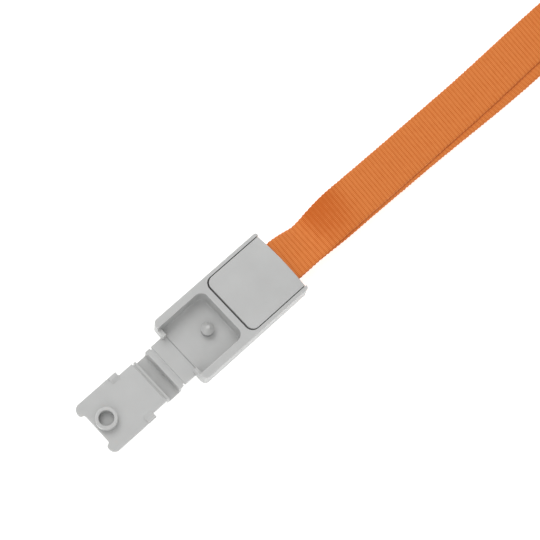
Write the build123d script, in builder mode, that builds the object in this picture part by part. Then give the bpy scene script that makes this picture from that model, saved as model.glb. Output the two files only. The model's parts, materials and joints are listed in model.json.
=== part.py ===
"""Snap-flap lanyard clip with its ribbon, modelled open.

Millimetres, real size. +X runs from the flap's free end toward the ribbon, +Z is up.
The origin is under the middle of the clip, on the surface that it lies on.
Distances along the clip are counted from its ribbon end, and along() turns them into X.
Heights on the clip are counted from its flat back, and up() turns them into Z.
"""
import os

from build123d import *

os.makedirs("parts", exist_ok=True)

# ---- driving dimensions ----------------------------------------------------
BODY_LENGTH = 43.0
BODY_WIDTH = 24.0
BODY_DEPTH = 8.3
OVERALL_LENGTH = 77.3  # from the ribbon end to the flap's free end, open
BOW_DROP = 4.65  # how far the bow hangs below the clip's back

# ribbon and the channel that holds its two ends
RIBBON_WIDTH = 15.0
RIBBON_THICKNESS = 0.8
LAYER_GAP = 0.05
CHANNEL_WIDTH = 16.0
CHANNEL_FLOOR = 3.5
TOOTH_HEIGHT = 0.3
TOOTH_WIDTH = 0.9
TOOTH_FIRST = 4.0
TOOTH_PITCH = 3.2
TOOTH_COUNT = 5
RIBBON_GRIP = 20.0  # how far each ribbon end reaches into the clip

# cover plate and its seat
COVER_LENGTH = 22.4
COVER_WIDTH = 21.2
COVER_UNDERSIDE = 5.75
COVER_CORNER = 2.5
COVER_BULGE = 0.45
COVER_GAP_SIDE = 0.25
COVER_GAP_END = 0.6
POST_DIAMETER = 1.6
POST_LENGTH = 1.9
POST_ACROSS = 18.6
POST_STATIONS = (5.5, 17.5)
POST_CLEARANCE = 0.05

# pocket that the flap closes into
POCKET_START = 25.0
POCKET_WIDTH = 18.9
POCKET_FLOOR = 1.4
POCKET_CORNER = 2.5
POCKET_ROUND = 0.5  # between the pocket's floor and its walls
STUB_THICKNESS = 1.2
STUB_TOP = 5.8
STUB_INNER = 6.8  # half of the opening between the two stubs

# snap: a stud in the pocket and a ring on the flap
STUD_STATION = 31.0
STUD_TOP = 6.0
STUD_NECK_DIAMETER = 2.3
STUD_HEAD_DIAMETER = 4.2
STUD_HEAD_RIM = 0.2
STUD_TIP_DIAMETER = 1.2
STUD_HEAD_BOTTOM = 3.6
STUD_HEAD_WIDEST = 3.9
STUD_BASE_DIAMETER = 3.8
STUD_BASE_HEIGHT = 0.6
RING_OUTER_DIAMETER = 6.8
RING_BORE_DIAMETER = 4.6
RING_HEIGHT = 3.3

# tab, bow and flap, joined by two film hinges
LINK_WIDTH = 15.6
TAB_THICKNESS = 1.6
HINGE_ONE = 47.5
HINGE_ONE_HEIGHT = 1.0
HINGE_TWO = 54.7
HINGE_TWO_HEIGHT = 0.2
WEB_DIAMETER = 0.4
WEB_THICKNESS = 0.3
WEB_LENGTH = 14.4
HINGE_GAP = 0.3  # from a hinge axis to the wall on each side of it
BOW_WALL = 0.8
BOW_CORNER = 1.3  # in the middle of the wall's thickness
BOW_LIP_LENGTH = 1.7  # from the first hinge's lip to the trough
BOW_LIP_TOP = 1.2
BOW_FAR_TOP = 0.4
FLAP_THICKNESS = 1.5
FLAP_WIDTH = 18.6
FLAP_SHOULDER = 60.3
FLAP_CORNER = 2.2
RECESS_DEPTH = 1.4
RECESS_WIDTH = 11.4
RECESS_ROUND = 0.7
TIP_ROUND = 1.0
PAD_LENGTH = 3.1
PAD_HEIGHT = 0.6
PAD_TOP_WIDTH = 1.1
PAD_FOOT_WIDTH = 2.4

# the ribbon outside the clip
RUN_LENGTH = 128.0
HANK_LENGTH = 104.0
HANK_PASSES = 3
TIE_WIDTH = 6.0
TIE_THICKNESS = 0.6
TIE_GAP = 0.1

# edge treatment
SIDE_CORNER = 1.7
END_CORNER = 0.9
RIM_ROUND = 0.3
BACK_ROUND = 0.5
SMALL_ROUND = 0.2
TOUCH = 0.01  # how near an edge must lie to a place to be picked there


def along(distance):
    """X of a place this far from the clip's ribbon end."""
    return OVERALL_LENGTH / 2 - distance


def up(height):
    """Z of a place this high above the clip's back."""
    return BOW_DROP + height


def rectangle_between(start, end, width):
    """A rectangle in the current sketch, between two distances along the clip."""
    with Locations((along((start + end) / 2), 0)):
        Rectangle(end - start, width)


def edges_at_height(builder, height):
    """The builder's edges that lie flat at one height on the clip."""
    return builder.edges().filter_by_position(Axis.Z, up(height) - TOUCH, up(height) + TOUCH)


def upright_edges_at(builder, distance):
    """The builder's upright edges at one distance along the clip."""
    place = along(distance)
    upright = builder.edges().filter_by(Axis.Z)
    return upright.filter_by_position(Axis.X, place - TOUCH, place + TOUCH)


# ---- clip body: shell, channel, seat for the cover, pocket, stubs and tab ----
with BuildPart() as clip_body:
    with BuildSketch(Plane.XY.offset(up(0))):
        rectangle_between(0, BODY_LENGTH, BODY_WIDTH)
    extrude(amount=BODY_DEPTH)
    upright = clip_body.edges().filter_by(Axis.Z).sort_by(Axis.X)
    fillet(upright[:2], SIDE_CORNER)
    upright = clip_body.edges().filter_by(Axis.Z).sort_by(Axis.X)
    fillet(upright[-2:], END_CORNER)
    fillet(clip_body.faces().sort_by(Axis.Z)[-1].edges(), RIM_ROUND)
    fillet(clip_body.faces().sort_by(Axis.Z)[0].edges(), BACK_ROUND)
    # seat of the cover plate
    seat_end = COVER_LENGTH + COVER_GAP_END
    with BuildSketch(Plane.XY.offset(up(COVER_UNDERSIDE))) as seat_outline:
        rectangle_between(-1, seat_end, COVER_WIDTH + 2 * COVER_GAP_SIDE)
        inner_corners = seat_outline.vertices().sort_by(Axis.X)[:2]
        fillet(inner_corners, COVER_CORNER + COVER_GAP_SIDE)
    extrude(amount=BODY_DEPTH, mode=Mode.SUBTRACT)
    # channel of the ribbon ends, open at the ribbon end
    with BuildSketch(Plane.XY.offset(up(CHANNEL_FLOOR))):
        rectangle_between(-1, RIBBON_GRIP + 0.6, CHANNEL_WIDTH)
    extrude(amount=BODY_DEPTH, mode=Mode.SUBTRACT)
    # holes for the cover's posts
    with BuildSketch(Plane.XY.offset(up(COVER_UNDERSIDE))):
        for station in POST_STATIONS:
            for side in (-1, 1):
                with Locations((along(station), side * POST_ACROSS / 2)):
                    Circle(POST_DIAMETER / 2 + POST_CLEARANCE)
    extrude(amount=-(POST_LENGTH + 0.1), mode=Mode.SUBTRACT)
    # pocket with rounded corners
    with BuildSketch(Plane.XY.offset(up(POCKET_FLOOR))) as pocket_outline:
        rectangle_between(POCKET_START, BODY_LENGTH - STUB_THICKNESS, POCKET_WIDTH)
        fillet(pocket_outline.vertices().sort_by(Axis.X)[-2:], POCKET_CORNER)
    extrude(amount=BODY_DEPTH, mode=Mode.SUBTRACT)
    floor_edges = edges_at_height(clip_body, POCKET_FLOOR)
    fillet(floor_edges, POCKET_ROUND)
    rim_edges = edges_at_height(clip_body, BODY_DEPTH)
    rim_edges = rim_edges.filter_by_position(Axis.X, along(BODY_LENGTH - 1), along(POCKET_START) + TOUCH)
    rim_edges = rim_edges.filter_by_position(Axis.Y, -POCKET_WIDTH / 2 - TOUCH, POCKET_WIDTH / 2 + TOUCH)
    fillet(rim_edges, SMALL_ROUND)
    # the end wall is open between the stubs, and the stubs are low
    with BuildSketch(Plane.XY.offset(up(POCKET_FLOOR))):
        rectangle_between(BODY_LENGTH - STUB_THICKNESS - 0.1, BODY_LENGTH + 1, 2 * STUB_INNER)
    extrude(amount=BODY_DEPTH, mode=Mode.SUBTRACT)
    with BuildSketch(Plane.XY.offset(up(STUB_TOP))):
        rectangle_between(BODY_LENGTH - STUB_THICKNESS - 0.1, BODY_LENGTH + 1, POCKET_WIDTH)
    extrude(amount=BODY_DEPTH, mode=Mode.SUBTRACT)
    fillet(edges_at_height(clip_body, STUB_TOP).filter_by(Axis.Y), RIM_ROUND)
    # teeth across the channel's floor
    with BuildSketch(Plane.XY.offset(up(CHANNEL_FLOOR))):
        for tooth in range(TOOTH_COUNT):
            with Locations((along(TOOTH_FIRST + tooth * TOOTH_PITCH), 0)):
                Rectangle(TOOTH_WIDTH, CHANNEL_WIDTH)
    extrude(amount=TOOTH_HEIGHT, taper=25)
    # tab toward the first hinge
    with BuildSketch(Plane.XZ.offset(-LINK_WIDTH / 2)):
        Polygon(
            (along(BODY_LENGTH - STUB_THICKNESS), up(0)),
            (along(HINGE_ONE - HINGE_GAP), up(0)),
            (along(HINGE_ONE - HINGE_GAP), up(TAB_THICKNESS)),
            (along(BODY_LENGTH - STUB_THICKNESS), up(TAB_THICKNESS)),
            align=None,
        )
    extrude(amount=LINK_WIDTH)
    tab_lip = edges_at_height(clip_body, TAB_THICKNESS).filter_by(Axis.Y).sort_by(Axis.X)[0]
    fillet(tab_lip, RIM_ROUND)
clip_body.part.label = "clip_body"
export_step(clip_body.part, "parts/clip_body.step")

# ---- snap stud on the pocket floor --------------------------------------------
with BuildPart() as snap_stud:
    with BuildSketch(Plane.XZ):
        Polygon(
            (0, up(POCKET_FLOOR)),
            (STUD_BASE_DIAMETER / 2, up(POCKET_FLOOR)),
            (STUD_NECK_DIAMETER / 2, up(POCKET_FLOOR + STUD_BASE_HEIGHT)),
            (STUD_NECK_DIAMETER / 2, up(STUD_HEAD_BOTTOM)),
            (STUD_HEAD_DIAMETER / 2, up(STUD_HEAD_WIDEST)),
            (STUD_HEAD_DIAMETER / 2, up(STUD_HEAD_WIDEST + STUD_HEAD_RIM)),
            (STUD_TIP_DIAMETER / 2, up(STUD_TOP)),
            (0, up(STUD_TOP)),
            align=None,
        )
    revolve(axis=Axis.Z)
    fillet(snap_stud.faces().sort_by(Axis.Z)[-1].edges(), SMALL_ROUND)
snap_stud.part.locate(Location((along(STUD_STATION), 0, 0)))
snap_stud.part.label = "snap_stud"
export_step(snap_stud.part, "parts/snap_stud.step")

# ---- cover plate over the ribbon ends --------------------------------------------
with BuildPart() as cover_plate:
    half_cover = COVER_WIDTH / 2
    with BuildSketch(Plane.XY.offset(up(COVER_UNDERSIDE))) as cover_outline:
        with BuildLine():
            ThreePointArc(
                (along(COVER_BULGE), -half_cover),
                (along(0), 0),
                (along(COVER_BULGE), half_cover),
            )
            Polyline(
                (along(COVER_BULGE), half_cover),
                (along(COVER_LENGTH), half_cover),
                (along(COVER_LENGTH), -half_cover),
                (along(COVER_BULGE), -half_cover),
            )
        make_face()
        fillet(cover_outline.vertices().sort_by(Axis.X)[:2], COVER_CORNER)
    extrude(amount=BODY_DEPTH - COVER_UNDERSIDE)
    fillet(cover_plate.faces().sort_by(Axis.Z)[-1].edges(), RIM_ROUND)
    with BuildSketch(Plane.XY.offset(up(COVER_UNDERSIDE))):
        for station in POST_STATIONS:
            for side in (-1, 1):
                with Locations((along(station), side * POST_ACROSS / 2)):
                    Circle(POST_DIAMETER / 2)
    extrude(amount=-POST_LENGTH)
    with BuildSketch(Plane.XY.offset(up(COVER_UNDERSIDE))):
        for tooth in range(TOOTH_COUNT):
            with Locations((along(TOOTH_FIRST + tooth * TOOTH_PITCH), 0)):
                Rectangle(TOOTH_WIDTH, RIBBON_WIDTH)
    extrude(amount=-TOOTH_HEIGHT, taper=25)
cover_plate.part.label = "cover_plate"
export_step(cover_plate.part, "parts/cover_plate.step")

# ---- the two ribbon ends clamped in the channel -----------------------------------
lower_layer = CHANNEL_FLOOR + TOOTH_HEIGHT
upper_layer = lower_layer + RIBBON_THICKNESS + LAYER_GAP

with BuildPart() as ribbon_end_lower:
    with BuildSketch(Plane.XY.offset(up(lower_layer))):
        rectangle_between(0, RIBBON_GRIP, RIBBON_WIDTH)
    extrude(amount=RIBBON_THICKNESS)
ribbon_end_lower.part.label = "ribbon_end_lower"
export_step(ribbon_end_lower.part, "parts/ribbon_end_lower.step")

with BuildPart() as ribbon_end_upper:
    with BuildSketch(Plane.XY.offset(up(upper_layer))):
        rectangle_between(0, RIBBON_GRIP, RIBBON_WIDTH)
    extrude(amount=RIBBON_THICKNESS)
ribbon_end_upper.part.label = "ribbon_end_upper"
export_step(ribbon_end_upper.part, "parts/ribbon_end_upper.step")

# ---- the two ribbon layers from the clip to the hank -------------------------------
# height of the underside of the lower layer at each distance from the clip
run_start = up(lower_layer)
hank_base = TIE_THICKNESS + TIE_GAP
RUN_SHAPE = (
    (0.0, run_start),
    (10.0, run_start + 0.25),
    (22.0, run_start + 0.7),
    (36.0, run_start - 1.0),
    (56.0, 3.9),
    (78.0, 1.6),
    (96.0, hank_base),
    (RUN_LENGTH, hank_base),
)
RUN_LAYERS = (
    ("ribbon_run_lower", 0),
    ("ribbon_run_upper", RIBBON_THICKNESS + LAYER_GAP),
)

for layer_name, layer_height in RUN_LAYERS:
    under = [(along(-away), level + layer_height) for away, level in RUN_SHAPE]
    over = [(x, z + RIBBON_THICKNESS) for x, z in under]
    with BuildPart() as ribbon_run:
        with BuildSketch(Plane.XZ.offset(-RIBBON_WIDTH / 2)):
            with BuildLine():
                Spline(*under)
                Spline(*over)
                Line(under[0], over[0])
                Line(under[-1], over[-1])
            make_face()
        extrude(amount=RIBBON_WIDTH)
    ribbon_run.part.label = layer_name
    export_step(ribbon_run.part, "parts/" + layer_name + ".step")

# ---- the rest of the loop, folded into a flat hank ---------------------------------
layer_pitch = RIBBON_THICKNESS + LAYER_GAP
hank_height = 2 * HANK_PASSES * layer_pitch
hank_start = along(-RUN_LENGTH)

with BuildPart() as ribbon_hank:
    with BuildSketch(Plane.XY.offset(hank_base)):
        with Locations((hank_start + HANK_LENGTH / 2, 0)):
            Rectangle(HANK_LENGTH, RIBBON_WIDTH)
    extrude(amount=hank_height)
    hank_ends = ribbon_hank.edges().filter_by(Axis.Y).sort_by(Axis.X)
    fillet(hank_ends[-2:], 1.4 * layer_pitch)
ribbon_hank.part.label = "ribbon_hank"
export_step(ribbon_hank.part, "parts/ribbon_hank.step")

# ---- tie round the hank ------------------------------------------------------------
tie_inside_height = hank_height + 2 * TIE_GAP
tie_inside_width = RIBBON_WIDTH + 2 * TIE_GAP
with BuildPart() as hank_tie:
    with BuildSketch(Plane.YZ.offset(hank_start + (HANK_LENGTH - TIE_WIDTH) / 2)):
        with Locations((0, hank_base + hank_height / 2)):
            RectangleRounded(
                tie_inside_width + 2 * TIE_THICKNESS,
                tie_inside_height + 2 * TIE_THICKNESS,
                1.6,
            )
            RectangleRounded(
                tie_inside_width, tie_inside_height, TIE_GAP, mode=Mode.SUBTRACT
            )
    extrude(amount=TIE_WIDTH)
hank_tie.part.label = "hank_tie"
export_step(hank_tie.part, "parts/hank_tie.step")

# ---- film hinges: thin round webs on the two hinge axes ----------------------------
with BuildPart() as hinge_web_one:
    with BuildSketch(Plane.XZ.offset(-WEB_LENGTH / 2)):
        with Locations((along(HINGE_ONE), up(HINGE_ONE_HEIGHT))):
            Circle(WEB_DIAMETER / 2)
        with Locations((along(HINGE_ONE - HINGE_GAP / 2), up(HINGE_ONE_HEIGHT))):
            Rectangle(HINGE_GAP, WEB_THICKNESS)
    extrude(amount=WEB_LENGTH)
hinge_web_one.part.label = "hinge_web_one"
export_step(hinge_web_one.part, "parts/hinge_web_one.step")

with BuildPart() as hinge_web_two:
    with BuildSketch(Plane.XZ.offset(-WEB_LENGTH / 2)):
        with Locations((along(HINGE_TWO), up(HINGE_TWO_HEIGHT))):
            Circle(WEB_DIAMETER / 2)
        with Locations((along(HINGE_TWO + HINGE_GAP / 2), up(HINGE_TWO_HEIGHT))):
            Rectangle(HINGE_GAP, WEB_THICKNESS)
    extrude(amount=WEB_LENGTH)
hinge_web_two.part.label = "hinge_web_two"
export_step(hinge_web_two.part, "parts/hinge_web_two.step")

# ---- bow: the U-shaped link that becomes the eye ------------------------------------
bow_start = HINGE_ONE + HINGE_GAP
bow_end = HINGE_TWO - HINGE_GAP
near_wall = bow_start + BOW_LIP_LENGTH - BOW_WALL / 2
far_wall = bow_end - BOW_WALL / 2
bow_middle = -BOW_DROP + BOW_WALL / 2

with BuildPart() as bow:
    with BuildSketch(Plane.XZ.offset(-LINK_WIDTH / 2)):
        with BuildLine():
            FilletPolyline(
                (along(near_wall), up(BOW_LIP_TOP)),
                (along(near_wall), up(bow_middle)),
                (along(far_wall), up(bow_middle)),
                (along(far_wall), up(BOW_FAR_TOP)),
                radius=BOW_CORNER,
            )
        trace(line_width=BOW_WALL)
        with Locations((along(bow_start + BOW_LIP_LENGTH / 2), up(BOW_LIP_TOP - BOW_WALL / 2))):
            Rectangle(BOW_LIP_LENGTH, BOW_WALL)
    extrude(amount=LINK_WIDTH)
    lip_edge = edges_at_height(bow, BOW_LIP_TOP).filter_by(Axis.Y).sort_by(Axis.X)[0]
    fillet(lip_edge, RIM_ROUND)
bow.part.label = "bow"
export_step(bow.part, "parts/bow.step")

# ---- flap: neck, plate with two lobes, rest pads ----------------------------------------
flap_end = OVERALL_LENGTH

with BuildPart() as flap_plate:
    with BuildSketch(Plane.XY.offset(up(0))) as plate_outline:
        rectangle_between(FLAP_SHOULDER, flap_end, FLAP_WIDTH)
        fillet(plate_outline.vertices().sort_by(Axis.X)[:2], FLAP_CORNER)
        rectangle_between(HINGE_TWO + HINGE_GAP, FLAP_SHOULDER + 1, LINK_WIDTH)
    extrude(amount=FLAP_THICKNESS)
    with BuildSketch(Plane.XY.offset(up(0))):
        with Locations((along(flap_end + 1 - (RECESS_DEPTH + 1) / 2), 0)):
            Rectangle(RECESS_DEPTH + 1, RECESS_WIDTH)
    extrude(amount=FLAP_THICKNESS, mode=Mode.SUBTRACT)
    inner_half = RECESS_WIDTH / 2 + TOUCH
    hollows = upright_edges_at(flap_plate, flap_end - RECESS_DEPTH)
    fillet(hollows.filter_by_position(Axis.Y, -inner_half, inner_half), RECESS_ROUND)
    tips = upright_edges_at(flap_plate, flap_end)
    fillet(tips.filter_by_position(Axis.Y, -inner_half, inner_half), TIP_ROUND)
    fillet(flap_plate.faces().sort_by(Axis.Z)[0].edges(), SMALL_ROUND)
    fillet(flap_plate.faces().sort_by(Axis.Z)[-1].edges(), SMALL_ROUND)
    # pads that rest near the stubs, each with a slope toward the middle
    for side in (-1, 1):
        outer = side * (FLAP_WIDTH / 2 - SMALL_ROUND)
        with BuildSketch(Plane.YZ.offset(along(FLAP_SHOULDER + PAD_LENGTH))):
            Polygon(
                (outer, up(FLAP_THICKNESS)),
                (outer, up(FLAP_THICKNESS + PAD_HEIGHT)),
                (outer - side * PAD_TOP_WIDTH, up(FLAP_THICKNESS + PAD_HEIGHT)),
                (outer - side * PAD_FOOT_WIDTH, up(FLAP_THICKNESS)),
                align=None,
            )
        extrude(amount=PAD_LENGTH - SMALL_ROUND)
flap_plate.part.label = "flap_plate"
export_step(flap_plate.part, "parts/flap_plate.step")

# ---- snap ring on the flap ------------------------------------------------------------
hinge_rise = HINGE_ONE_HEIGHT - HINGE_TWO_HEIGHT
ring_station = HINGE_ONE + HINGE_TWO + hinge_rise - STUD_STATION
with BuildPart() as snap_ring:
    with BuildSketch(Plane.XY.offset(up(FLAP_THICKNESS))):
        with Locations((along(ring_station), 0)):
            Circle(RING_OUTER_DIAMETER / 2)
            Circle(RING_BORE_DIAMETER / 2, mode=Mode.SUBTRACT)
    extrude(amount=RING_HEIGHT)
    fillet(snap_ring.faces().sort_by(Axis.Z)[-1].edges(), RIM_ROUND)
snap_ring.part.label = "snap_ring"
export_step(snap_ring.part, "parts/snap_ring.step")
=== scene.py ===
"""Ribbon lanyard with a snap-flap clip: looks, floor, light and camera.

Metres throughout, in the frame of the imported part: +X from the flap toward the ribbon,
+Z up. Lengths are written in millimetres times MM.
"""
import json
import math
import random

import bpy
from mathutils import Matrix, Vector


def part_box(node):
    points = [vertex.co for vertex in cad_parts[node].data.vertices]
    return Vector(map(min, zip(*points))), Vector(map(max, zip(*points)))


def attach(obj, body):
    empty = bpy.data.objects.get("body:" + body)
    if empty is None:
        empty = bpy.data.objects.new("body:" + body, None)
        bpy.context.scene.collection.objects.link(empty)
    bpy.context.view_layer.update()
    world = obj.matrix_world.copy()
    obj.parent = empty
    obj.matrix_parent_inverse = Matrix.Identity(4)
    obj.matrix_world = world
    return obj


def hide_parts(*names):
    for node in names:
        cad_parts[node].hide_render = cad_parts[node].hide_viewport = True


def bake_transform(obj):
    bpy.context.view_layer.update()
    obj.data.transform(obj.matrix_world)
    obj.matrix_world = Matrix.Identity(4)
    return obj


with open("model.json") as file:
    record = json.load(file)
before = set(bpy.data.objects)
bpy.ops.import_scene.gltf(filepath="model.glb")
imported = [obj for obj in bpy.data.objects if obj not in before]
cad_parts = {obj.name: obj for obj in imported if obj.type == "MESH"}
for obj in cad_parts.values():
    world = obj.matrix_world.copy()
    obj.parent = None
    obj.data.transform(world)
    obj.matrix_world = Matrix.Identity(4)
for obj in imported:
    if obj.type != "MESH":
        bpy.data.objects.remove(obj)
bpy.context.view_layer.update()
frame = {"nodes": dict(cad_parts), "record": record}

MM = 0.001

# ---- camera, as the picture was taken ----------------------------------------
CAMERA_TARGET = Vector((34.7 * MM, 0.77 * MM, 8.65 * MM))
CAMERA_AZIMUTH = -60.5
CAMERA_ELEVATION = 72.7
CAMERA_ROLL = 17.8
CAMERA_DISTANCE = 430 * MM
CAMERA_FIELD = 22.05

# ---- light: places from the camera's target, along the picture's up and right ----
KEY_UP = 0.34
KEY_LEFT = 0.26
KEY_HEIGHT = 0.85
KEY_SIZE = 0.5
KEY_POWER = 2.85
FILL_DOWN = 0.6
FILL_LEFT = 0.25
FILL_HEIGHT = 0.75
FILL_SIZE = 1.0
FILL_POWER = 2.2
SKY_STRENGTH = 0.62
FLOOR_HALF = 8.0

# ---- ribbon ---------------------------------------------------------------------
RIBBON_WIDTH = 15.0 * MM
RIBBON_THICKNESS = 0.8 * MM
LAYER_PITCH = 0.85 * MM
RIB_PITCH = 1.45 * MM
RIB_STEPS = 5
RIB_HEIGHT = 0.10 * MM
RIB_SKEW = 0.10
SELVEDGE = 0.7 * MM
GRIP = 20.0 * MM
RUN_LENGTH = 128.0 * MM
HANK_LENGTH = 104.0 * MM
HANK_PASSES = 3
FOLD_BULGE = 0.9 * MM
FOLD_SPREAD = 4 * MM  # how far along the hank a fold lifts the layers over it
FOLD_REACH = 1.15  # length of a fold's half turn over its radius
FAR_INSET = 1.6 * MM
NEAR_INSET = 4.5 * MM
LEAN_DEGREES = 17.0

# ---- tie round the hank ----------------------------------------------------------
TIE_THICKNESS = 0.55 * MM
TIE_CORNER = 1.3 * MM
TIE_THREADS = 7
TIE_THREAD_HEIGHT = 0.16 * MM

# ---- snap fastener: radii, and depths below the stud's top -------------------------
STUD_FOOT = 1.9 * MM
STUD_FOOT_HEIGHT = 0.6 * MM
STUD_NECK = 1.15 * MM
STUD_HEAD = 2.1 * MM
STUD_TIP = 0.6 * MM
STUD_HEAD_TOP_DEPTH = 1.9 * MM
STUD_HEAD_WIDE_DEPTH = 2.1 * MM
STUD_NECK_DEPTH = 2.4 * MM
STUD_SOFT = 0.3 * MM
RING_BORE = 2.3 * MM
RING_SOFT = 0.34 * MM
TURN_SEGMENTS = 96

# ---- film hinge skins: half length, and heights above the CAD web's underside ------
SKIN_REACH = 0.36 * MM
SKIN_BOTTOM = 0.02 * MM
SKIN_TOP = 0.38 * MM
SKIN_WAIST = 0.06 * MM
SKIN_STEPS = 10

# ---- colours, linear --------------------------------------------------------------
GREY = (0.505, 0.508, 0.503)
ORANGE = (0.77, 0.243, 0.056)
# ORANGE_DEEP: the deeper orange between the ribs, and the painted shade on the ribbon near the clip
ORANGE_DEEP = (0.57, 0.118, 0.008)
BLACK = (0.018, 0.018, 0.02)
PALE = (0.93, 0.93, 0.925)
FLOOR_GLOW = 0.6  # a light table: the floor is lit from below


# =============================== camera ==========================================
def camera_axes():
    """Right, up and back directions of the camera, roll included."""
    a = math.radians(CAMERA_AZIMUTH)
    e = math.radians(CAMERA_ELEVATION)
    r = math.radians(CAMERA_ROLL)
    back = Vector((math.sin(a) * math.cos(e), -math.cos(a) * math.cos(e), math.sin(e)))
    level = Vector((math.cos(a), math.sin(a), 0))
    upright = back.cross(level)
    right = math.cos(r) * level + math.sin(r) * upright
    up = math.cos(r) * upright - math.sin(r) * level
    return right, up, back


def place_camera():
    """The scene's camera at the picture's viewing angle."""
    right, up, back = camera_axes()
    data = bpy.data.cameras.new("camera")
    data.angle = math.radians(CAMERA_FIELD)
    data.clip_start = 0.01
    data.clip_end = 20
    camera = bpy.data.objects.new("camera", data)
    bpy.context.scene.collection.objects.link(camera)
    turn = Matrix((right, up, back)).transposed().to_4x4()
    place = CAMERA_TARGET + back * CAMERA_DISTANCE
    camera.matrix_world = Matrix.Translation(place) @ turn
    bpy.context.scene.camera = camera


# =============================== materials ========================================
def new_material(name):
    """A node material, with its node tree and its shader."""
    material = bpy.data.materials.new(name)
    material.use_nodes = True
    shader = material.node_tree.nodes["Principled BSDF"]
    return material, material.node_tree, shader


def add_node(tree, kind, **inputs):
    """A node of this kind with the named inputs set."""
    node = tree.nodes.new(kind)
    for key, value in inputs.items():
        node.inputs[key.replace("_", " ")].default_value = value
    return node


def object_noise(tree, scale, detail):
    """Noise in object space, so that it stays on the piece."""
    place = tree.nodes.new("ShaderNodeTexCoord")
    noise = add_node(tree, "ShaderNodeTexNoise", Scale=scale, Detail=detail)
    tree.links.new(place.outputs["Object"], noise.inputs["Vector"])
    return noise


def spread(tree, source, low, high):
    """The source, mapped to run between two values."""
    node = add_node(tree, "ShaderNodeMapRange", To_Min=low, To_Max=high)
    node.inputs["From Min"].default_value = 0.3
    node.inputs["From Max"].default_value = 0.7
    tree.links.new(source, node.inputs["Value"])
    return node.outputs["Result"]


def two_colours(tree, source, first, second):
    """A colour between two, by the source."""
    ramp = tree.nodes.new("ShaderNodeValToRGB")
    ramp.color_ramp.elements[0].position = 0.3
    ramp.color_ramp.elements[1].position = 0.7
    ramp.color_ramp.elements[0].color = (*first, 1)
    ramp.color_ramp.elements[1].color = (*second, 1)
    tree.links.new(source, ramp.inputs["Fac"])
    return ramp.outputs["Color"]


def moulded_plastic():
    """Light grey polyacetal with the fine grain of a spark-eroded mould."""
    material, tree, shader = new_material("moulded_plastic")
    tint = object_noise(tree, 90, 3)
    paler = tuple(c * 1.04 for c in GREY)
    darker = tuple(c * 0.965 for c in GREY)
    colour = two_colours(tree, tint.outputs["Fac"], darker, paler)
    tree.links.new(colour, shader.inputs["Base Color"])
    grain = object_noise(tree, 5200, 2)
    rough = spread(tree, grain.outputs["Fac"], 0.40, 0.52)
    tree.links.new(rough, shader.inputs["Roughness"])
    swell = object_noise(tree, 260, 2)
    soft = add_node(tree, "ShaderNodeBump", Strength=0.06, Distance=0.15 * MM)
    tree.links.new(swell.outputs["Fac"], soft.inputs["Height"])
    bump = add_node(tree, "ShaderNodeBump", Strength=0.16, Distance=0.02 * MM)
    tree.links.new(grain.outputs["Fac"], bump.inputs["Height"])
    tree.links.new(soft.outputs["Normal"], bump.inputs["Normal"])
    tree.links.new(bump.outputs["Normal"], shader.inputs["Normal"])
    shader.inputs["Subsurface Weight"].default_value = 0.35
    shader.inputs["Subsurface Radius"].default_value = (1.0, 0.95, 0.9)
    shader.inputs["Subsurface Scale"].default_value = 1.2 * MM
    shader.inputs["IOR"].default_value = 1.48
    return material


def scaled_sum(tree, terms):
    """The sum of several outputs, each times its share."""
    total = None
    for output, share in terms:
        node = tree.nodes.new("ShaderNodeMath")
        node.operation = "MULTIPLY_ADD"
        node.inputs[1].default_value = share
        node.inputs[2].default_value = 0.0
        tree.links.new(output, node.inputs[0])
        if total is not None:
            tree.links.new(total, node.inputs[2])
        total = node.outputs["Value"]
    return total


def mesh_value(tree, name):
    """A number that the ribbon's mesh carries at each point."""
    node = tree.nodes.new("ShaderNodeAttribute")
    node.attribute_name = name
    return node.outputs["Fac"]


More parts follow.
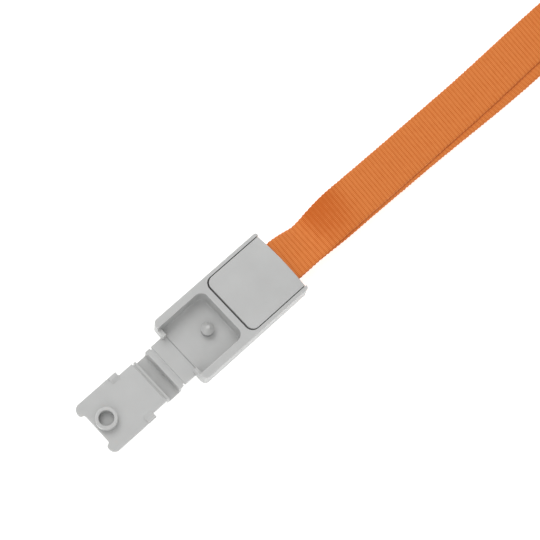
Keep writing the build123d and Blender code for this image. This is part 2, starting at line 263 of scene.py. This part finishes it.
def woven_ribbon():
    """Cross-ribbed polyester: yarns along the ribbon over stout cross cords."""
    material, tree, shader = new_material("woven_ribbon")
    place = tree.nodes.new("ShaderNodeUVMap")
    place.uv_map = "ribbon"
    # fine yarns along the ribbon, and finer cords across it between the ribs
    yarns = add_node(tree, "ShaderNodeTexWave", Scale=0.63, Distortion=1.2, Detail=2)
    yarns.bands_direction = "Y"
    tree.links.new(place.outputs["UV"], yarns.inputs["Vector"])
    cords = add_node(tree, "ShaderNodeTexWave", Scale=0.65, Distortion=0.8, Detail=2)
    cords.bands_direction = "X"
    tree.links.new(place.outputs["UV"], cords.inputs["Vector"])
    mottle = add_node(tree, "ShaderNodeTexNoise", Scale=0.5, Detail=4)
    tree.links.new(place.outputs["UV"], mottle.inputs["Vector"])
    # paler on the ribs and yarns, deeper between them; deeper still near the clip, a painted shade
    # where the leaning ribbon turns from the light and shows less sheen
    terms = (
        (mottle.outputs["Fac"], 0.20),
        (mesh_value(tree, "rib_height"), 0.30),
        (yarns.outputs["Fac"], 0.27),
        (cords.outputs["Fac"], 0.22),
        (mesh_value(tree, "painted_shade"), -0.38),
    )
    tone = scaled_sum(tree, terms)
    colour = two_colours(tree, tone, ORANGE_DEEP, ORANGE)
    tree.links.new(colour, shader.inputs["Base Color"])
    fuzz = add_node(tree, "ShaderNodeTexNoise", Scale=9, Detail=3)
    tree.links.new(place.outputs["UV"], fuzz.inputs["Vector"])
    weave = scaled_sum(tree, ((yarns.outputs["Fac"], 0.5), (cords.outputs["Fac"], 0.5)))
    bump_yarn = add_node(tree, "ShaderNodeBump", Strength=0.5, Distance=0.08 * MM)
    tree.links.new(weave, bump_yarn.inputs["Height"])
    bump_fuzz = add_node(tree, "ShaderNodeBump", Strength=0.3, Distance=0.04 * MM)
    tree.links.new(fuzz.outputs["Fac"], bump_fuzz.inputs["Height"])
    tree.links.new(bump_yarn.outputs["Normal"], bump_fuzz.inputs["Normal"])
    tree.links.new(bump_fuzz.outputs["Normal"], shader.inputs["Normal"])
    rough = spread(tree, fuzz.outputs["Fac"], 0.62, 0.82)
    tree.links.new(rough, shader.inputs["Roughness"])
    shader.inputs["Sheen Weight"].default_value = 0.12
    shader.inputs["Sheen Roughness"].default_value = 0.45
    shader.inputs["Sheen Tint"].default_value = (1.0, 0.72, 0.5, 1)
    shader.inputs["Specular IOR Level"].default_value = 0.3
    return material


def knitted_elastic():
    """Black elastic: covered rubber threads side by side."""
    material, tree, shader = new_material("knitted_elastic")
    noise = object_noise(tree, 1800, 3)
    paler = tuple(c * 2.2 for c in BLACK)
    colour = two_colours(tree, noise.outputs["Fac"], BLACK, paler)
    tree.links.new(colour, shader.inputs["Base Color"])
    fine = object_noise(tree, 5200, 2)
    bump = add_node(tree, "ShaderNodeBump", Strength=0.4, Distance=0.06 * MM)
    tree.links.new(fine.outputs["Fac"], bump.inputs["Height"])
    tree.links.new(bump.outputs["Normal"], shader.inputs["Normal"])
    shader.inputs["Roughness"].default_value = 0.8
    shader.inputs["Sheen Weight"].default_value = 0.3
    return material


def pale_paper():
    """The studio floor."""
    material, tree, shader = new_material("pale_paper")
    noise = object_noise(tree, 40, 2)
    slightly_darker = tuple(c * 0.995 for c in PALE)
    colour = two_colours(tree, noise.outputs["Fac"], slightly_darker, PALE)
    tree.links.new(colour, shader.inputs["Base Color"])
    tree.links.new(colour, shader.inputs["Emission Color"])
    shader.inputs["Emission Strength"].default_value = FLOOR_GLOW
    shader.inputs["Roughness"].default_value = 0.95
    shader.inputs["Specular IOR Level"].default_value = 0.1
    return material


# =============================== mesh helper ======================================
def make_object(name, points, faces, material, smooth=True):
    """A mesh object in the row frame."""
    mesh = bpy.data.meshes.new(name)
    mesh.from_pydata([tuple(p) for p in points], [], faces)
    mesh.materials.append(material)
    mesh.validate()
    if smooth:
        mesh.shade_smooth()
    made = bpy.data.objects.new(name, mesh)
    bpy.context.scene.collection.objects.link(made)
    return made


# =============================== ribbon ===========================================
def smooth_step(value, start, end):
    """0 before start, 1 after end, and a smooth rise between."""
    t = min(max((value - start) / (end - start), 0.0), 1.0)
    return t * t * (3 - 2 * t)


def spline_heights(stations):
    """Second derivatives of the natural cubic spline through (distance, height) pairs."""
    count = len(stations)
    second = [0.0] * count
    work = [0.0] * count
    for i in range(1, count - 1):
        before = stations[i][0] - stations[i - 1][0]
        after = stations[i + 1][0] - stations[i][0]
        share = before / (before + after)
        divisor = share * second[i - 1] + 2
        second[i] = (share - 1) / divisor
        slope_after = (stations[i + 1][1] - stations[i][1]) / after
        slope_before = (stations[i][1] - stations[i - 1][1]) / before
        bend = 6 * (slope_after - slope_before) / (before + after)
        work[i] = (bend - share * work[i - 1]) / divisor
    second[-1] = 0.0
    for i in range(count - 2, -1, -1):
        second[i] = second[i] * second[i + 1] + work[i]
    return second


def height_at(stations, second, distance):
    """Height of the spline at a distance from the clip."""
    i = 0
    while i < len(stations) - 2 and distance > stations[i + 1][0]:
        i += 1
    x0, z0 = stations[i]
    x1, z1 = stations[i + 1]
    span = x1 - x0
    a = (x1 - distance) / span
    b = (distance - x0) / span
    curve = (a**3 - a) * second[i] + (b**3 - b) * second[i + 1]
    return a * z0 + b * z1 + curve * span * span / 6


def ribbon_route():
    """Points of the whole loop's middle line, and which layer each is in.

    It starts at the lower end in the clip, runs to the hank, folds back and forth with
    the other layer on top of it, turns at the loop's far end and comes back above.
    """
    exit_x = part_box("ribbon_run_lower")[0].x
    exit_z = (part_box("ribbon_end_lower")[0].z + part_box("ribbon_end_lower")[1].z) / 2
    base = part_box("ribbon_hank")[0].z + RIBBON_THICKNESS / 2
    stations = (
        (0.0, exit_z),
        (10 * MM, exit_z + 0.25 * MM),
        (22 * MM, exit_z + 0.7 * MM),
        (36 * MM, exit_z - 1.0 * MM),
        (56 * MM, base + 3.2 * MM),
        (78 * MM, base + 0.9 * MM),
        (96 * MM, base),
        (RUN_LENGTH, base),
    )
    second = spline_heights(stations)
    step = 1.0 * MM
    near = exit_x + RUN_LENGTH
    far = near + HANK_LENGTH
    levels = 2 * HANK_PASSES

    # each pass stops a little short of or past the others, as a hand-folded ribbon does
    chance = random.Random(11)
    ends = {}
    for fold in range(HANK_PASSES):
        at_far = fold % 2 == 0
        ragged = chance.uniform(0.4, 2.2) * MM
        ends[fold] = far - ragged - FAR_INSET if at_far else near + ragged + NEAR_INSET

    def bulge(fold, x):
        """Extra gap that a fold opens beside it."""
        return FOLD_BULGE * math.exp(-(((x - ends[fold]) / FOLD_SPREAD) ** 2))

    def level_height(level, x):
        """Height of a ribbon level in the hank, levels counted from 1 at the bottom."""
        z = base + (level - 1) * LAYER_PITCH
        for fold in range(HANK_PASSES):
            if level > 2 * fold + 2:
                z += bulge(fold, x)
        if level == levels and HANK_PASSES % 2:
            z += bulge(HANK_PASSES - 1, x)
        return z

    # levels of the lower and upper layer in each pass, from the bottom of the hank
    lower_levels = []
    upper_levels = []
    for number in range(HANK_PASSES):
        pair = (2 * number + 1, 2 * number + 2)
        lower_levels.append(pair[number % 2])
        upper_levels.append(pair[1 - number % 2])

    def run_points(raise_by):
        """One layer from the end in the clip to the hank."""
        points = []
        count = round(GRIP / step)
        for i in range(count):
            points.append((exit_x - GRIP + i * step, exit_z + raise_by))
        count = round(RUN_LENGTH / step)
        for i in range(count):
            away = i * step
            points.append((exit_x + away, height_at(stations, second, away) + raise_by))
        return points

    def pass_points(number, level):
        """One layer along one pass of the hank, up to where its fold begins."""
        start = near if number == 0 else ends[number - 1]
        end = ends[number]
        count = max(2, round(abs(end - start) / step))
        points = []
        for i in range(count + 1):
            x = start + (end - start) * i / count
            points.append((x, level_height(level, x)))
        return points

    def fold_points(number, from_level, to_level):
        """The half turn after a pass, from one level to another."""
        x = ends[number]
        z0 = level_height(from_level, x)
        z1 = level_height(to_level, x)
        radius = (z1 - z0) / 2
        sign = 1 if number % 2 == 0 else -1
        count = max(6, round(math.pi * abs(radius) / (0.25 * MM)))
        points = []
        for i in range(1, count):
            angle = math.pi * i / count
            reach = sign * abs(radius) * math.sin(angle) * FOLD_REACH
            points.append((x + reach, (z0 + z1) / 2 - radius * math.cos(angle)))
        return points

    lower = run_points(0)
    upper = run_points(LAYER_PITCH)
    for number in range(HANK_PASSES):
        for chain, chain_levels in ((lower, lower_levels), (upper, upper_levels)):
            chain += pass_points(number, chain_levels[number])
            if number < HANK_PASSES - 1:
                chain += fold_points(number, chain_levels[number], chain_levels[number + 1])
    last = HANK_PASSES - 1
    loop_end = fold_points(last, lower_levels[last], upper_levels[last])
    route = [(x, z, 0.0) for x, z in lower]
    route += [(x, z, 0.5) for x, z in loop_end]
    route += [(x, z, 1.0) for x, z in reversed(upper)]
    return route, exit_x


def sideways(x, layer, exit_x):
    """How far a layer has wandered from the clip's middle line, layer 0 lower and 1 upper."""
    away = x - exit_x
    upper = 0.75 * smooth_step(away, 25 * MM, 80 * MM) + 0.75 * smooth_step(away, 80 * MM, 125 * MM)
    lower = -0.75 * smooth_step(away, 7 * MM, 24 * MM) - 1.4 * smooth_step(away, 55 * MM, 110 * MM)
    together = 1 - smooth_step(away, 126 * MM, 175 * MM)
    sway = 0.25 * math.sin(away / (17 * MM)) * smooth_step(away, 110 * MM, 150 * MM)
    return (layer * upper + (1 - layer) * lower) * together * MM + sway * MM


def lean_angle(x, exit_x):
    """How far the ribbon leans near the clip, its +Y edge down."""
    away = x - exit_x
    lean = smooth_step(away, 1 * MM, 13 * MM) * (1 - smooth_step(away, 10 * MM, 28 * MM))
    return math.radians(LEAN_DEGREES) * lean


def resample(points, step):
    """Evenly spaced points along a chain of points, with their distances."""
    distances = [0.0]
    for a, b in zip(points, points[1:]):
        distances.append(distances[-1] + (b - a).length)
    total = distances[-1]
    count = round(total / step)
    made = []
    i = 0
    for k in range(count + 1):
        s = total * k / count
        while i < len(points) - 2 and distances[i + 1] < s:
            i += 1
        span = distances[i + 1] - distances[i]
        t = (s - distances[i]) / span if span > 0 else 0
        made.append(points[i].lerp(points[i + 1], t))
    return made, total


def cross_section():
    """(across, over) pairs round the ribbon: across is -1 to 1, over is 1 on the top."""
    edge = 1 - 0.6 * SELVEDGE / (RIBBON_WIDTH / 2)
    inner = 1 - 1.9 * SELVEDGE / (RIBBON_WIDTH / 2)
    places = (-edge, -inner, -0.45, 0.0, 0.45, inner, edge)
    loop = [(-1.0, 0.0)]
    loop += [(p, 1.0) for p in places]
    loop += [(1.0, 0.0)]
    loop += [(p, -1.0) for p in reversed(places)]
    return loop


def build_ribbon(material):
    """The whole ribbon loop as one woven band with raised cross ribs."""
    route, exit_x = ribbon_route()
    line = [Vector((x, sideways(x, layer, exit_x), z)) for x, z, layer in route]
    step = RIB_PITCH / RIB_STEPS
    centres, total = resample(line, step)
    section = cross_section()
    chance = random.Random(5)
    points = []
    ribs = []
    painted_shade_values = []
    places = []
    count = len(centres)
    for i, centre in enumerate(centres):
        ahead = centres[min(i + 1, count - 1)] - centres[max(i - 1, 0)]
        ahead.normalize()
        lean = lean_angle(centre.x, exit_x)
        level_side = Vector((0, 1, 0))
        level_over = level_side.cross(ahead) * -1
        top = 1 if ahead.x > 0 else -1
        side = level_side * math.cos(lean) - level_over * (top * math.sin(lean))
        normal = level_over * math.cos(lean) + level_side * (top * math.sin(lean))
        # the leaning ribbon pivots on its -Y edge
        pivot = centre - level_side * (RIBBON_WIDTH / 2) + side * (RIBBON_WIDTH / 2)
        uneven = 1 + chance.uniform(-0.12, 0.12)
        fray = chance.uniform(-0.05, 0.05) * MM
        away = centre.x - exit_x
        # painted shade: colour deepened 12 to 34 mm from the clip, most at the +Y edge, where the
        # leaning ribbon turns from the light and shows less sheen
        painted_shade = smooth_step(away, 12 * MM, 19 * MM) * (1 - smooth_step(away, 22 * MM, 34 * MM))
        for across, over in section:
            phase = (i / RIB_STEPS + RIB_SKEW * across * RIBBON_WIDTH / 2 / RIB_PITCH) % 1
            rib = math.sin(math.pi * phase) ** 0.7
            half = RIBBON_THICKNESS / 2 - RIB_HEIGHT * (1 - rib * uneven)
            wide = RIBBON_WIDTH / 2 + 0.05 * MM - 0.25 * MM * (1 - rib) + fray
            if abs(across) > 0.9:
                half *= 0.9
            points.append(pivot + side * (across * wide) + normal * (over * half))
            ribs.append(rib * abs(over) + 0.4 * (1 - abs(over)))
            painted_shade_values.append(painted_shade * (0.6 + 0.4 * across))
            places.append((i * step / MM, across * wide / MM))
    faces = []
    ring = len(section)
    for i in range(count - 1):
        for j in range(ring):
            k = (j + 1) % ring
            faces.append((i * ring + j, i * ring + k, (i + 1) * ring + k, (i + 1) * ring + j))
    faces.append(tuple(range(ring)))
    faces.append(tuple(reversed(range((count - 1) * ring, count * ring))))
    ribbon = make_object("neck_ribbon", points, faces, material)
    mesh = ribbon.data
    for name, values in (("rib_height", ribs), ("painted_shade", painted_shade_values)):
        attribute = mesh.attributes.new(name, "FLOAT", "POINT")
        attribute.data.foreach_set("value", values)
    layer = mesh.uv_layers.new(name="ribbon")
    for loop in mesh.loops:
        layer.data[loop.index].uv = places[loop.vertex_index]
    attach(ribbon, "clip")
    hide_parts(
        "ribbon_end_lower",
        "ribbon_end_upper",
        "ribbon_run_lower",
        "ribbon_run_upper",
        "ribbon_hank",
    )
    return ribbon


# =============================== tie =============================================
def build_tie(material):
    """A knitted elastic band round the hank."""
    low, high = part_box("hank_tie")
    middle = (low + high) / 2
    half_y = (high.y - low.y) / 2
    half_z = (high.z - low.z) / 2
    width = high.x - low.x
    across_count = TIE_THREADS * 6
    # outline of the band seen along the hank
    outline = []
    for cy, cz, start in ((1, 1, 0), (-1, 1, 90), (-1, -1, 180), (1, -1, 270)):
        for i in range(9):
            angle = math.radians(start + 90 * i / 8)
            outline.append((cy, cz, math.cos(angle), math.sin(angle)))
    points = []
    for k in range(across_count + 1):
        t = k / across_count
        x = low.x + width * t
        thread = abs(math.sin(math.pi * TIE_THREADS * t)) ** 0.6
        raised = TIE_THREAD_HEIGHT * (thread - 1)
        for cy, cz, dy, dz in outline:
            y = cy * (half_y - TIE_CORNER) + dy * (TIE_CORNER + raised)
            z = cz * (half_z - TIE_CORNER) + dz * (TIE_CORNER + raised)
            points.append((x, middle.y + y, middle.z + z))
    ring = len(outline)
    inner_start = len(points)
    for k in (0, across_count):
        x = low.x + width * k / across_count
        for cy, cz, dy, dz in outline:
            y = cy * (half_y - TIE_CORNER) + dy * (TIE_CORNER - TIE_THICKNESS)
            z = cz * (half_z - TIE_CORNER) + dz * (TIE_CORNER - TIE_THICKNESS)
            points.append((x, middle.y + y, middle.z + z))
    faces = []
    for k in range(across_count):
        for j in range(ring):
            n = (j + 1) % ring
            faces.append((k * ring + j, k * ring + n, (k + 1) * ring + n, (k + 1) * ring + j))
    last = across_count * ring
    for j in range(ring):
        n = (j + 1) % ring
        faces.append((inner_start + j, inner_start + n, n, j))
        faces.append((last + j, last + n, inner_start + ring + n, inner_start + ring + j))
        faces.append((inner_start + ring + j, inner_start + ring + n, inner_start + n, inner_start + j))
    tie = make_object("hank_tie_band", points, faces, material)
    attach(tie, "clip")
    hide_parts("hank_tie")
    return tie


# =============================== film hinges =======================================
def build_hinge_skin(node, second, name, material):
    """A thin skin across one hinge."""
    low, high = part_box(node)
    axis_x = next(
        j["pos_m"][0] for j in frame["record"]["behaviour"]["joints"] if j["child"] == second
    )
    bottom = low.z + SKIN_BOTTOM
    points = []
    for i in range(SKIN_STEPS + 1):
        t = i / SKIN_STEPS
        x = axis_x + SKIN_REACH * (1 - 2 * t)
        top = low.z + SKIN_TOP - SKIN_WAIST * math.sin(math.pi * t)
        for y, z in ((low.y, bottom), (high.y, bottom), (high.y, top), (low.y, top)):
            points.append((x, y, z))
    faces = [(0, 1, 2, 3)]
    for i in range(SKIN_STEPS):
        for j in range(4):
            k = (j + 1) % 4
            faces.append((i * 4 + k, i * 4 + j, (i + 1) * 4 + j, (i + 1) * 4 + k))
    end = SKIN_STEPS * 4
    faces.append((end + 3, end + 2, end + 1, end))
    skin = make_object(name, points, faces, material, smooth=False)
    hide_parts(node)
    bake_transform(skin)
    return skin


# =============================== snap fastener ====================================
def softened(corners, radius, closed):
    """An outline with its corners replaced by small curves; an open one keeps its ends."""
    made = []
    count = len(corners)
    for i, corner in enumerate(corners):
        if not closed and i in (0, count - 1):
            made.append(corner)
            continue
        before = corners[i - 1] - corner
        after = corners[(i + 1) % count] - corner
        start = corner + before * min(radius / before.length, 0.45)
        finish = corner + after * min(radius / after.length, 0.45)
        for k in range(5):
            t = k / 4
            made.append(start.lerp(corner, t).lerp(corner.lerp(finish, t), t))
    return made


def turn_piece(node, name, outline, closed, material):
    """A smooth round piece about its CAD piece's vertical axis; outline is (radius, height)."""
    low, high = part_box(node)
    middle = (low + high) / 2
    points = []
    for k in range(TURN_SEGMENTS):
        angle = 2 * math.pi * k / TURN_SEGMENTS
        for place in outline:
            x = middle.x + place.x * math.cos(angle)
            y = middle.y + place.x * math.sin(angle)
            points.append((x, y, low.z + place.y))
    count = len(outline)
    faces = []
    for k in range(TURN_SEGMENTS):
        here = k * count
        after = (k + 1) % TURN_SEGMENTS * count
        for j in range(count if closed else count - 1):
            n = (j + 1) % count
            faces.append((here + j, after + j, after + n, here + n))
    if not closed:
        faces.append(tuple(k * count + count - 1 for k in range(TURN_SEGMENTS)))
        faces.append(tuple(k * count for k in reversed(range(TURN_SEGMENTS))))
    piece = make_object(name, points, faces, material)
    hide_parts(node)
    return piece


def build_snap(material):
    """The mushroom stud in the pocket and the ring on the flap that snaps over it."""
    low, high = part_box("snap_stud")
    tall = high.z - low.z
    corners = (
        (STUD_FOOT, 0),
        (STUD_NECK, STUD_FOOT_HEIGHT),
        (STUD_NECK, tall - STUD_NECK_DEPTH),
        (STUD_HEAD, tall - STUD_HEAD_WIDE_DEPTH),
        (STUD_HEAD, tall - STUD_HEAD_TOP_DEPTH),
        (STUD_TIP, tall),
        (STUD_TIP / 2, tall),
    )
    outline = softened([Vector(corner) for corner in corners], STUD_SOFT, False)
    stud = turn_piece("snap_stud", "stud_turned", outline, False, material)
    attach(stud, "clip")
    low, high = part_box("snap_ring")
    outer = (high.x - low.x) / 2
    tall = high.z - low.z
    corners = ((outer, 0), (outer, tall), (RING_BORE, tall), (RING_BORE, 0))
    outline = softened([Vector(corner) for corner in corners], RING_SOFT, True)
    ring = turn_piece("snap_ring", "ring_turned", outline, True, material)
    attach(ring, "flap")


# =============================== clip ============================================
def finish_clip(material):
    """The rest of the clip's CAD pieces keep their shape and get their real finish."""
    for name in ("clip_body", "cover_plate", "bow", "flap_plate"):
        piece = frame["nodes"][name]
        for slot in piece.material_slots:
            slot.material = material


# =============================== floor and light ==================================
def build_floor(material):
    """A plain pale floor under the part."""
    half = FLOOR_HALF
    points = [(-half, -half, 0), (half, -half, 0), (half, half, 0), (-half, half, 0)]
    floor = make_object("floor", points, [(0, 1, 2, 3)], material, smooth=False)


def area_light(name, place, size, power):
    """A square soft light that looks at the camera's target."""
    data = bpy.data.lights.new(name, "AREA")
    data.shape = "SQUARE"
    data.size = size
    data.energy = power
    light = bpy.data.objects.new(name, data)
    bpy.context.scene.collection.objects.link(light)
    light.location = place
    light.rotation_mode = "QUATERNION"
    light.rotation_quaternion = (place - CAMERA_TARGET).to_track_quat("Z", "Y")


def light_scene():
    """White surroundings, a key light from the picture's upper left and a wide fill below it."""
    world = bpy.data.worlds.new("studio")
    world.use_nodes = True
    background = world.node_tree.nodes["Background"]
    background.inputs["Color"].default_value = (1, 1, 1, 1)
    background.inputs["Strength"].default_value = SKY_STRENGTH
    bpy.context.scene.world = world
    right, up, _ = camera_axes()
    top = Vector((up.x, up.y, 0)).normalized()
    side = Vector((right.x, right.y, 0)).normalized()
    key = CAMERA_TARGET + top * KEY_UP - side * KEY_LEFT + Vector((0, 0, KEY_HEIGHT))
    fill = CAMERA_TARGET - top * FILL_DOWN - side * FILL_LEFT + Vector((0, 0, FILL_HEIGHT))
    area_light("key_light", key, KEY_SIZE, KEY_POWER)
    area_light("fill_light", fill, FILL_SIZE, FILL_POWER)
    bpy.context.scene.view_settings.view_transform = "Standard"
    bpy.context.scene.view_settings.look = "None"


place_camera()
plastic = moulded_plastic()
build_ribbon(woven_ribbon())
build_tie(knitted_elastic())
build_hinge_skin("hinge_web_one", "bow", "hinge_skin_one", plastic)
build_hinge_skin("hinge_web_two", "flap", "hinge_skin_two", plastic)
build_snap(plastic)
finish_clip(plastic)
build_floor(pale_paper())
light_scene()
